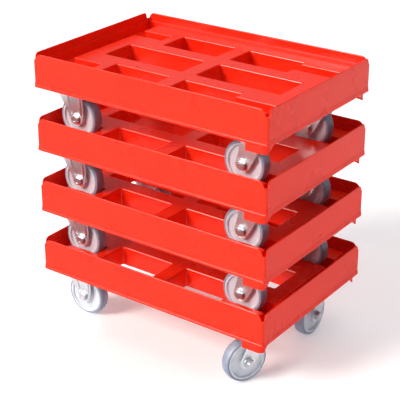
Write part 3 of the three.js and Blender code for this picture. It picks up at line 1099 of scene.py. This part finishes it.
@dataclass
class Wheel:
    """A wheel over the origin with its axle along Y: a tyre on a plastic centre."""

    tyre_half: float = 12.5 * MM
    shoulder_drop: float = 4.2 * MM
    tyre_foot: float = 43.4 * MM
    rim_inner: float = 38.4 * MM
    rim_proud: float = 0.9 * MM
    dish: float = 3.2 * MM
    hub_radius: float = 15 * MM
    bore_radius: float = 6.1 * MM

    def __post_init__(self) -> None:
        """Reads the wheel's radius and the hub's width from the frame."""
        low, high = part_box("dolly_1_fixed_back_wheel")
        self.radius = (high.z - low.z) / 2
        self.hub_half = (high.y - low.y) / 2

    def tyre(self) -> Object:
        """Turns the tyre, with a crowned tread and a thin side band."""
        steps = 12
        shoulder = self.radius - self.shoulder_drop
        half = self.tyre_half
        crown = []
        for step in range(steps + 1):
            angle = math.pi * step / steps
            y = half * math.cos(angle)
            rise = math.sqrt(1 - abs(math.cos(angle)) ** 2.6)
            crown.append((shoulder + self.shoulder_drop * rise, y))
        side = [
            (self.tyre_foot - 3 * MM, half - 3 * MM),
            (self.tyre_foot, half - 0.8 * MM),
            (self.tyre_foot + 0.8 * MM, half - 0.1 * MM),
        ]
        profile = [*side, *crown, *[(radius, -y) for radius, y in reversed(side)]]
        return smooth(turned("tyre", profile, 96), 40)

    def centre(self) -> Object:
        """Turns the wheel centre: raised rim, dished face, hub and bore."""
        half, rim = self.tyre_half, self.rim_inner
        face = half - self.dish
        side = [
            (self.bore_radius, self.hub_half),
            (self.hub_radius - 0.8 * MM, self.hub_half),
            (self.hub_radius, self.hub_half - 0.8 * MM),
            (self.hub_radius + 0.6 * MM, face + 1.6 * MM),
            (self.hub_radius + 2.2 * MM, face + 0.4 * MM),
            (self.hub_radius + 5 * MM, face),
            (rim - 3.2 * MM, face - 0.3 * MM),
            (rim - 1.4 * MM, face + 0.2 * MM),
            (rim - 0.5 * MM, face + 1.4 * MM),
            (rim - 0.1 * MM, half),
            (rim + 0.5 * MM, half + 0.65 * self.rim_proud),
            (rim + 1.4 * MM, half + self.rim_proud),
            (self.tyre_foot - 1.2 * MM, half + self.rim_proud),
            (self.tyre_foot - 0.3 * MM, half + 0.5 * self.rim_proud),
            (self.tyre_foot + 0.1 * MM, half - 0.6 * MM),
        ]
        profile = [*side, *[(radius, -y) for radius, y in reversed(side)]]
        return smooth(turned("wheel_centre", profile, 96), 40)


@dataclass
class AxleBolt:
    """A hexagon bolt along Y over the origin, with washers and a lock nut."""

    flats: float = 18 * MM
    head_height: float = 6.2 * MM
    nut_height: float = 6.6 * MM
    collar_height: float = 2.2 * MM
    shank_radius: float = 5.9 * MM
    thread_end: float = 2.0 * MM
    washer_radius: float = 11.5 * MM
    washer: float = 1.4 * MM
    washer_rounding: float = 0.35 * MM
    chamfer: float = 1.1 * MM
    end_chamfer: float = 0.8 * MM
    collar_radius: float = 8.46 * MM
    dimple_radius: float = 5.4 * MM
    dimple_depth: float = 0.5 * MM

    def along(self, radius: float, start: float, end: float, steps: int) -> Object:
        """Adds a rod along Y."""
        return rod("bolt_part", radius, Vector((0, start, 0)), Vector((0, end, 0)), steps)

    def hexagon(self, start: float, end: float) -> Object:
        """Adds a hexagon along Y, chamfered round its outer end."""
        part = self.along(self.flats / math.sqrt(3), start, end, 6)
        return bevel_edges(part, self.chamfer, 3, lying_at(end, axis=1))

    def build(self, leg_face: float) -> Object:
        """Puts the bolt together.

        Args:
            leg_face: Distance of a leg's outer face from the wheel's middle.

        Returns:
            The bolt with washers and nut.
        """
        seat = leg_face + self.washer
        head_face = -seat - self.head_height
        bolt = self.along(self.shank_radius, -seat - self.head_height / 2,
                          seat + self.nut_height + self.thread_end, 32)
        bevel_edges(bolt, self.end_chamfer, 2, lambda edge: all(
            point.co.y > seat + self.nut_height for point in edge.verts))
        parts = [
            self.hexagon(-seat, head_face),
            self.hexagon(seat, seat + self.nut_height),
            self.along(self.collar_radius, seat + self.nut_height - 0.4 * MM,
                       seat + self.nut_height + self.collar_height - 1 * MM, 32),
        ]
        for side in (-1, 1):
            washer = self.along(self.washer_radius, side * leg_face, side * seat, 40)
            parts.append(bevel_edges(washer, self.washer_rounding, 2, Edges.ALL))
        dimple = self.along(self.dimple_radius, head_face + self.dimple_depth,
                            head_face - OVERLAP, 32)
        combine(bolt, parts, Cut.JOIN)
        return smooth(combine(bolt, [dimple], Cut.REMOVE))


@dataclass
class LegPair:
    """Two pressed legs that stand beside the hub and lean outwards to their top."""

    axle_x: float
    axle_z: float
    top_low: float
    top_high: float
    top_z: float
    inner: float
    splay: float
    thickness: float = 3 * MM
    end_radius: float = 17 * MM
    bend_rise: float = 14 * MM
    bend_half: float = 3 * MM  # the bend is spread over this much above and below it
    edge_rounding: float = 0.7 * MM
    hole_radius: float = 6.3 * MM
    ridges: tuple[Span, ...] = ()  # each one's X at the top and at its foot
    ridge_radius: float = 3.2 * MM

    def lean(self, z: float) -> float:
        """How far a leg has leant outwards at a height."""
        bend = self.axle_z + self.bend_rise
        return max(0.0, (z - bend) / (self.top_z - bend)) * self.splay

    def leg(self) -> Object:
        """Shapes the leg on the +Y side."""
        outer = self.inner + self.thickness
        leg = rod("leg", self.end_radius, Vector((self.axle_x, self.inner, self.axle_z)),
                  Vector((self.axle_x, outer, self.axle_z)), 48)
        top_centre = ((self.top_low + self.top_high) / 2, (self.inner + outer) / 2,
                      self.top_z - OVERLAP / 2)
        with editing(leg):
            bpy.ops.mesh.primitive_cube_add(size=1, location=top_centre)
            bpy.ops.transform.resize(
                value=(self.top_high - self.top_low, self.thickness, OVERLAP),
                center_override=top_centre)
        hull(leg)
        hole = rod("axle_hole", self.hole_radius,
                   Vector((self.axle_x, self.inner - OVERLAP, self.axle_z)),
                   Vector((self.axle_x, outer + OVERLAP, self.axle_z)), 32)
        combine(leg, [hole], Cut.REMOVE)
        bend = self.axle_z + self.bend_rise
        with editing(leg):
            for rise in (-self.bend_half, 0.0, self.bend_half):
                bpy.ops.mesh.select_all(action="SELECT")
                bpy.ops.mesh.bisect(plane_co=(0, 0, bend + rise), plane_no=(0, 0, 1))
        bevel_edges(leg, self.edge_rounding, 2, sharper(60))
        for vertex in leg.data.vertices:
            vertex.co.y += self.lean(vertex.co.z)
        return combine(leg, [self.ridge(place) for place in self.ridges], Cut.JOIN)

    def ridge(self, place: Span) -> Object:
        """Shapes one pressed ridge that fades out towards the axle.

        Args:
            place: Its X at the top and at its foot.

        Returns:
            A long rounded body, half sunk in the leg's outer face.
        """
        outer = self.inner + self.thickness
        low_z = self.axle_z + self.end_radius * 0.5
        ends = [
            (Vector((place[0], outer + self.splay, self.top_z)), self.ridge_radius),
            (Vector((place[1], outer + self.lean(low_z), low_z)), self.ridge_radius * 0.5),
        ]
        deselect_all()
        bpy.ops.mesh.primitive_uv_sphere_add(segments=24, ring_count=12, radius=ends[0][1],
                                             location=ends[0][0])
        ridge = bpy.context.object
        bpy.ops.object.transform_apply(location=True, rotation=True, scale=True)
        with editing(ridge):
            bpy.ops.mesh.primitive_uv_sphere_add(segments=24, ring_count=12, radius=ends[1][1],
                                                 location=ends[1][0])
        return hull(ridge)

    def build(self) -> list[Object]:
        """Shapes both legs.

        Returns:
            The leg on the +Y side and its mirror image.
        """
        leg = self.leg()
        mirrored = placed_copy(leg, "leg_mirrored", Matrix.Scale(-1, 4, Vector((0, 1, 0))))
        return [leg, mirrored]


@dataclass
class TopPlate:
    """A pressed plate with rounded corners and four screw holes, centred on an axis."""

    length: float
    width: float
    low_z: float
    high_z: float
    corner: float = 6 * MM
    edge_rounding: float = 0.5 * MM
    spacing_x: float = 80 * MM
    spacing_y: float = 60 * MM
    hole_radius: float = 4.5 * MM

    def build(self, x: float = 0.0) -> Object:
        """Shapes the plate.

        Args:
            x: X of its middle.

        Returns:
            The plate.
        """
        plate = block("plate", (x - self.length / 2, x + self.length / 2),
                      (-self.width / 2, self.width / 2), (self.low_z, self.high_z))
        bevel_edges(plate, self.corner, 6, Edges.UPRIGHT)
        bevel_edges(plate, self.edge_rounding, 2, lambda edge: (
            sharper(60)(edge) and lying_at(edge.verts[0].co.z)(edge)))
        holes = [rod("hole", self.hole_radius, Vector((hole_x, y, self.low_z - OVERLAP)),
                     Vector((hole_x, y, self.high_z + OVERLAP)), 24)
                 for hole_x, y in self.hole_places(x)]
        return combine(plate, holes, Cut.REMOVE)

    def hole_places(self, x: float = 0.0) -> list[Span]:
        """Places of the screws as X and Y, for a plate whose middle is at the given X."""
        return [(x + side_x * self.spacing_x / 2, side_y * self.spacing_y / 2)
                for side_x in (-1, 1) for side_y in (-1, 1)]


@dataclass
class Screws:
    """Flanged hexagon screws that hold a caster's plate to the deck."""

    flats: float = 10 * MM
    head: float = 5 * MM
    flange_radius: float = 7.4 * MM
    flange: float = 1.2 * MM
    flange_chamfer: float = 0.4 * MM
    head_chamfer: float = 0.7 * MM

    def build(self, plate: TopPlate, x: float = 0.0) -> Object:
        """Shapes the four screw heads of one plate, in one piece.

        Args:
            plate: The plate they hold.
            x: X of the plate's middle.

        Returns:
            The heads below the plate.
        """
        heads = []
        for place_x, place_y in plate.hole_places(x):
            seat = Vector((place_x, place_y, plate.low_z))
            flange = rod("screw", self.flange_radius, seat, seat - Vector((0, 0, self.flange)), 20)
            bevel_edges(flange, self.flange_chamfer, 1, lying_at(seat.z - self.flange))
            head = rod("head", self.flats / math.sqrt(3), seat - Vector((0, 0, self.flange / 2)),
                       seat - Vector((0, 0, self.head)), 6)
            bevel_edges(head, self.head_chamfer, 1, lying_at(seat.z - self.head))
            shank = rod("shank", plate.hole_radius * 0.8, seat - Vector((0, 0, self.flange / 2)),
                        Vector((place_x, place_y, plate.high_z)), 12)
            heads.append(combine(flange, [head, shank], Cut.JOIN))
        make_active(heads[0])
        for head in heads:
            head.select_set(True)
        bpy.ops.object.join()
        return smooth(heads[0])


@dataclass
class CasterSet:
    """The patterns that every caster of the stack is copied from."""

    hub_gap: float = 1.2 * MM
    leg_thickness: float = 3 * MM
    fixed_leg_top: float = 80 * MM
    fixed_splay: float = 15 * MM
    fork_leg_top: float = 52 * MM
    fork_splay: float = 9 * MM
    crown_radius: float = 37 * MM
    crown_thickness: float = 4 * MM
    race_radius: float = 28 * MM
    race_height: float = 8 * MM
    rivet_radius: float = 8.5 * MM
    fixed_screws_wide: float = 44 * MM

    def __post_init__(self) -> None:
        """Reads the casters' sizes from the frame."""
        self.wheel = Wheel()
        self.leg_inner = self.wheel.hub_half + self.hub_gap
        plate_low, plate_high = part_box("dolly_1_swivel_back_plate")
        bracket_low, bracket_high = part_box("dolly_1_fixed_back_bracket")
        self.mount_z = plate_high.z
        self.fork_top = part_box("dolly_1_swivel_back_fork")[1].z
        self.fixed_x = centre_of("dolly_1_fixed_back_wheel").x
        self.fixed_plate_x = (bracket_low.x + bracket_high.x) / 2 - self.fixed_x
        plate_centre = centre_of("dolly_2_swivel_back_plate")
        wheel_centre = centre_of("dolly_2_swivel_back_wheel")
        self.trail = (wheel_centre - plate_centre).xy.length
        length, width = plate_high.x - plate_low.x, plate_high.y - plate_low.y
        self.swivel_plate = TopPlate(length, width, plate_low.z, plate_high.z)
        self.fixed_plate = TopPlate(length, width, self.mount_z - self.leg_thickness,
                                    self.mount_z, spacing_y=self.fixed_screws_wide)

    def bracket(self) -> Object:
        """Shapes the fixed bracket: plate and two ridged legs."""
        middle, half = self.fixed_plate_x, self.fixed_leg_top / 2
        legs = LegPair(0, self.wheel.radius, middle - half, middle + half,
                       self.fixed_plate.low_z + 0.5 * MM, self.leg_inner, self.fixed_splay,
                       ridges=((-16 * MM, -13 * MM), (24 * MM, 13 * MM)))
        plate = self.fixed_plate.build(self.fixed_plate_x)
        return smooth(combine(plate, legs.build(), Cut.JOIN), 40)

    def fork(self) -> Object:
        """Shapes the swivel fork: crown, race cover, rivet and two legs that trail along +X."""
        crown_top = self.fork_top - self.race_height
        crown_low = crown_top - self.crown_thickness
        profile = [
            (1 * MM, crown_low),
            (self.crown_radius - 1.2 * MM, crown_low),
            (self.crown_radius - 0.3 * MM, crown_low + 0.5 * MM),
            (self.crown_radius, crown_low + 1.4 * MM),
            (self.crown_radius - 0.3 * MM, crown_top - 0.8 * MM),
            (self.crown_radius - 1.6 * MM, crown_top),
            (self.race_radius + 4 * MM, crown_top + 0.6 * MM),
            (self.race_radius + 1.2 * MM, crown_top + 2.2 * MM),
            (self.race_radius, crown_top + 4.5 * MM),
            (self.race_radius - 0.6 * MM, self.fork_top - 0.8 * MM),
            (self.race_radius - 1.6 * MM, self.fork_top),
            (1 * MM, self.fork_top),
        ]
        crown = self.upright(profile)
        rivet = self.upright([
            (0.9 * MM, crown_low - 4.2 * MM),
            (self.rivet_radius * 0.55, crown_low - 3.8 * MM),
            (self.rivet_radius * 0.9, crown_low - 2.4 * MM),
            (self.rivet_radius, crown_low + OVERLAP),
            (0.9 * MM, self.fork_top - OVERLAP),
        ])
        legs = LegPair(self.trail, self.wheel.radius, -self.fork_leg_top / 2,
                       self.fork_leg_top / 2, crown_top - 1.5 * MM, self.leg_inner,
                       self.fork_splay)
        plug = rod("plug", 1.2 * MM, Vector((0, 0, crown_low - 4 * MM)),
                   Vector((0, 0, self.fork_top - 0.1 * MM)), 12)
        return smooth(combine(crown, [rivet, plug, *legs.build()], Cut.JOIN), 40)

    def upright(self, profile: Sequence[Span]) -> Object:
        """Turns a profile of (radius, z) about the Z axis."""
        piece = turned("upright", profile, 72)
        piece.data.transform(Matrix.Rotation(math.pi / 2, 4, "X"))
        return piece

    def build(self, finishes: Finishes, dollies: int) -> None:
        """Shapes the patterns and copies them to every caster.

        Args:
            finishes: The object's materials.
            dollies: How many dollies the stack has.
        """
        bolt = AxleBolt()
        leg_face = self.leg_inner + self.leg_thickness
        patterns = {
            "tyre": self.wheel.tyre(),
            "wheel_centre": self.wheel.centre(),
            "axle_bolt": bolt.build(leg_face),
            "bracket": self.bracket(),
            "fork": self.fork(),
            "top_plate": smooth(self.swivel_plate.build()),
            "fixed_screws": Screws().build(self.fixed_plate, self.fixed_plate_x),
            "swivel_screws": Screws().build(self.swivel_plate),
        }
        base = centre_of("dolly_1_fixed_back_wheel").z
        for number in range(1, dollies + 1):
            for side in ("front", "back"):
                for kind in ("fixed", "swivel"):
                    name = f"dolly_{number}_{kind}_{side}"
                    wheel = centre_of(f"{name}_wheel")
                    rise = wheel.z - base
                    self.place(name, patterns, finishes, f"dolly_{number}", wheel, rise)
        discard(*patterns.values())

    def place(self, name: str, patterns: dict[str, Object], finishes: Finishes, deck_body: str,
              wheel: Vector, rise: float) -> None:
        """Copies one caster's pieces to their place.

        Args:
            name: The caster's name, which its CAD nodes start with.
            patterns: The pieces to copy.
            finishes: The object's materials.
            deck_body: The body that the caster is screwed to.
            wheel: Middle of the wheel.
            rise: How much higher than the lowest dolly it stands.
        """
        swivels = "swivel" in name
        if swivels:
            axis = centre_of(f"{name}_plate")
            arm = wheel - axis
            turn = Matrix.Rotation(math.atan2(arm.y, arm.x), 4, "Z")
            foot = Matrix.Translation((axis.x, axis.y, rise))
            fork_body = f"{name}_fork_body"
        else:
            turn = Matrix.Identity(4)
            foot = Matrix.Translation((wheel.x, wheel.y, rise))
            fork_body = deck_body
        hub = Matrix.Translation(wheel) @ turn
        steel = finishes.steel

        def add(pattern: str, place: Matrix, material: Material, body: str, slot: str,
                node: str | None = None, label: str | None = None) -> None:
            """Copies one pattern and dresses it."""
            piece = placed_copy(patterns[pattern], f"{name}_{label or pattern}", place)
            nodes = [f"{name}_{node}"] if node else []
            dress(piece, material, body, slot, *nodes)

        wheel_body = f"{name}_wheel_body"
        add("tyre", hub, finishes.rubber, wheel_body, "wheel", "wheel")
        add("wheel_centre", hub, finishes.wheel_centre, wheel_body, "wheel", "wheel")
        add("axle_bolt", hub, finishes.bolts, fork_body, "steel", "axle")
        if swivels:
            add("top_plate", foot, steel, deck_body, "steel", "plate")
            add("swivel_screws", foot, finishes.bolts, deck_body, "steel", label="screws")
            add("fork", foot @ turn, steel, fork_body, "steel", "fork", "fork_pressing")
        else:
            add("bracket", foot, steel, deck_body, "steel", "bracket", "bracket_pressing")
            add("fixed_screws", foot, finishes.bolts, deck_body, "steel", label="screws")


# Studio --------------------------------------------------------------------------------


@dataclass
class Studio:
    """Floor, light and camera. Places are in metres, angles in degrees."""

    floor_size: float = 40.0
    camera_place: tuple[float, float, float] = (1.422, -1.9763, 1.4285)
    camera_tilt: float = 66.63
    camera_turn: float = 35.78
    camera_shift: float = -0.075
    lens_mm: float = 108.0
    sky_strength: float = 0.22
    sky_colour: str = "#F4F7FF"
    warm_white: str = "#FFF9F2"
    white: str = "#FFFFFF"

    def light(self, name: str, towards: Vector, strength: float, softness: float,
              colour: str) -> Object:
        """Adds an even studio light that comes from one direction.

        Args:
            name: Name of the light.
            towards: Direction from the object to the light.
            strength: Its irradiance in watts per square metre.
            softness: Angle that the light source spans, in degrees.
            colour: Its sRGB hex colour.

        Returns:
            The light.
        """
        lamp = bpy.data.objects.new(name, bpy.data.lights.new(name, "SUN"))
        lamp.data.energy = strength
        lamp.data.angle = math.radians(softness)
        lamp.data.color = linear(colour)[:3]
        lamp.location = towards * 3
        lamp.rotation_euler = (-towards).to_track_quat("-Z", "Y").to_euler()
        bpy.context.scene.collection.objects.link(lamp)
        return lamp

    def build(self) -> None:
        """Sets up the floor, the sky, the lights and the camera."""
        deselect_all()
        bpy.ops.mesh.primitive_plane_add(size=self.floor_size, location=(0, 0, CAD_BOX[0].z))
        floor = bpy.context.object
        floor.name = "studio_floor"
        floor.data.materials.append(PaintedFloor().material())
        world = bpy.data.worlds.new("studio_sky")
        bpy.context.scene.world = world
        world.use_nodes = True
        background = world.node_tree.nodes["Background"]
        background.inputs["Color"].default_value = linear(self.sky_colour)
        background.inputs["Strength"].default_value = self.sky_strength
        key = Vector((-0.40, -0.75, 0.55))
        top, back = Vector((0.1, 0.25, 1.0)), Vector((-0.55, 0.75, 0.42))
        self.light("key_light", key, strength=3.0, softness=24, colour=self.warm_white)
        self.light("top_light", top, strength=1.0, softness=60, colour=self.white)
        self.light("back_light", back, strength=0.3, softness=70, colour=self.white)
        edge_light = self.light("edge_light", key, strength=16.0, softness=8,
                                colour=self.warm_white)
        edge_light.visible_diffuse = False  # it only draws the pale lines along rounded edges
        camera = bpy.data.objects.new("camera", bpy.data.cameras.new("camera"))
        camera.location = self.camera_place
        camera.rotation_euler = (math.radians(self.camera_tilt), 0, math.radians(self.camera_turn))
        camera.data.lens = self.lens_mm
        camera.data.shift_y = self.camera_shift
        bpy.context.scene.collection.objects.link(camera)
        bpy.context.scene.camera = camera
        bpy.context.scene.view_settings.view_transform = "Standard"


def main() -> None:
    """Builds every sub-assembly in order."""
    logging.basicConfig(level=logging.INFO, format="%(name)s: %(message)s")
    dollies = sum(name.endswith("_deck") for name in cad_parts)
    finishes = Finishes()
    Studio().build()
    Deck().build(finishes, dollies)
    CasterSet().build(finishes, dollies)


if __name__ == "__main__":
    main()
